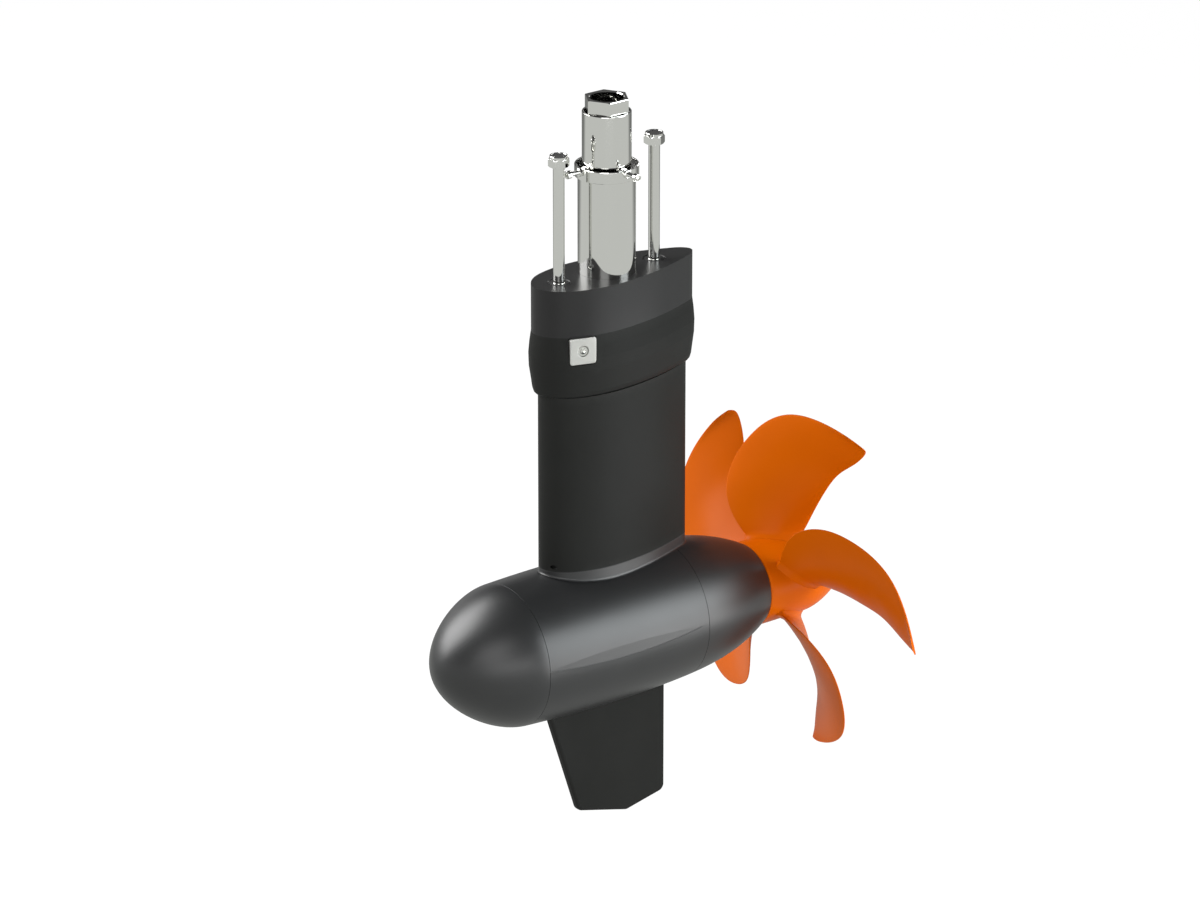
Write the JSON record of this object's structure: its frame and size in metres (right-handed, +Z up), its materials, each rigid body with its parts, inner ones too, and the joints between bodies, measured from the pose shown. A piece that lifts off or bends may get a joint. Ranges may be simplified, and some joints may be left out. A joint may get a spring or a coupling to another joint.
{
  "type": "electric outboard motor",
  "caption": "Electric pod-drive outboard: stem tube and studs above a fairing block, faired leg, streamlined motor pod with skeg and a skewed propeller.",
  "frame": {"origin": "on the stem axis, in the plane of the face that meets the hull", "axes": "+X forward towards the pod's nose, +Y to port, +Z up towards the boat"},
  "size_m": [0.4288, 0.3065, 0.6666],
  "materials": {
    "adapter_black": "gloss black moulding",
    "leg_black": "satin black coating",
    "pod_black": "satin black coating, a little smoother than the leg",
    "bright_metal": "polished stainless",
    "orange": "satin orange coating",
    "anode_metal": "bare matt metal",
    "seal_rubber": "matt",
    "grey_plastic": "matt",
    "machined_steel": "machined",
    "cast_metal": "machined casting",
    "core_iron": "stacked sheet",
    "winding_copper": "enamelled wire",
    "magnet_grey": "plated",
    "board_green": "lacquered board"
  },
  "bodies": {
    "drive": {"anode_plate": "anode_metal", "anode_screw": "bright_metal", "bearing_spacer": "machined_steel", "clamp_nut_fore_inner": "bright_metal", "clamp_nut_fore_outer": "bright_metal", "clamp_nut_port_inner": "bright_metal", "clamp_nut_port_outer": "bright_metal", "clamp_screw_fore": "bright_metal", "clamp_screw_port": "bright_metal", "control_board": "board_green", "end_shield": "cast_metal", "gear_plate": "cast_metal", "gland_nut": "bright_metal", "gland_ring": "grey_plastic", "gland_rubber": "seal_rubber", "hull_adapter": "adapter_black", "leg": "leg_black", "leg_gasket": "seal_rubber", "leg_head": "leg_black", "lock_nut_aft": "bright_metal", "lock_nut_fore": "bright_metal", "motor_bearing_aft": "machined_steel", "motor_bearing_fore": "machined_steel", "nose_ring": "seal_rubber", "nut_insert_aft": "grey_plastic", "nut_insert_fore": "grey_plastic", "pod_housing": "pod_black", "pod_nose": "pod_black", "ring_gear": "machined_steel", "shaft_bearing_aft": "machined_steel", "shaft_bearing_fore": "machined_steel", "shaft_seal": "seal_rubber", "skeg": "leg_black", "slide_tube": "bright_metal", "stator_core": "core_iron", "stator_windings": "winding_copper", "stem_tube": "bright_metal", "stud_aft": "bright_metal", "stud_cone_aft": "seal_rubber", "stud_cone_fore": "seal_rubber", "stud_fore": "bright_metal", "tail_housing": "pod_black", "tail_ring": "seal_rubber", "tube_collar": "bright_metal", "tube_guide": "grey_plastic", "tube_wiper": "seal_rubber"},
    "screw": {"propeller": "orange", "prop_shaft": "machined_steel", "drive_pin": "machined_steel", "prop_nut": "bright_metal", "thrust_washer": "machined_steel", "planet_pin_1": "machined_steel", "planet_pin_2": "machined_steel", "planet_pin_3": "machined_steel"},
    "rotor": {"motor_shaft": "machined_steel", "rotor_core": "core_iron", "rotor_magnets": "magnet_grey"},
    "planet_1": {"planet_gear_1": "machined_steel"},
    "planet_2": {"planet_gear_2": "machined_steel"},
    "planet_3": {"planet_gear_3": "machined_steel"}
  },
  "joints": [
    {"name": "propeller_spin", "type": "hinge", "parent": "drive", "child": "screw", "pos_m": [-0.2, 0, -0.3296], "axis": [1, 0, 0], "continuous": true},
    {"name": "rotor_spin", "type": "hinge", "parent": "drive", "child": "rotor", "pos_m": [0.025, 0, -0.3296], "axis": [1, 0, 0], "continuous": true},
    {"name": "planet_1_spin", "type": "hinge", "parent": "screw", "child": "planet_1", "pos_m": [-0.083, 0, -0.3026], "axis": [1, 0, 0], "continuous": true},
    {"name": "planet_2_spin", "type": "hinge", "parent": "screw", "child": "planet_2", "pos_m": [-0.083, -0.02338, -0.3431], "axis": [1, 0, 0], "continuous": true},
    {"name": "planet_3_spin", "type": "hinge", "parent": "screw", "child": "planet_3", "pos_m": [-0.083, 0.02338, -0.3431], "axis": [1, 0, 0], "continuous": true}
  ],
  "couplings": [
    {"joint": "rotor_spin", "follows": "propeller_spin", "ratio": 4},
    {"joint": "planet_1_spin", "follows": "propeller_spin", "ratio": -3},
    {"joint": "planet_2_spin", "follows": "propeller_spin", "ratio": -3},
    {"joint": "planet_3_spin", "follows": "propeller_spin", "ratio": -3}
  ]
}
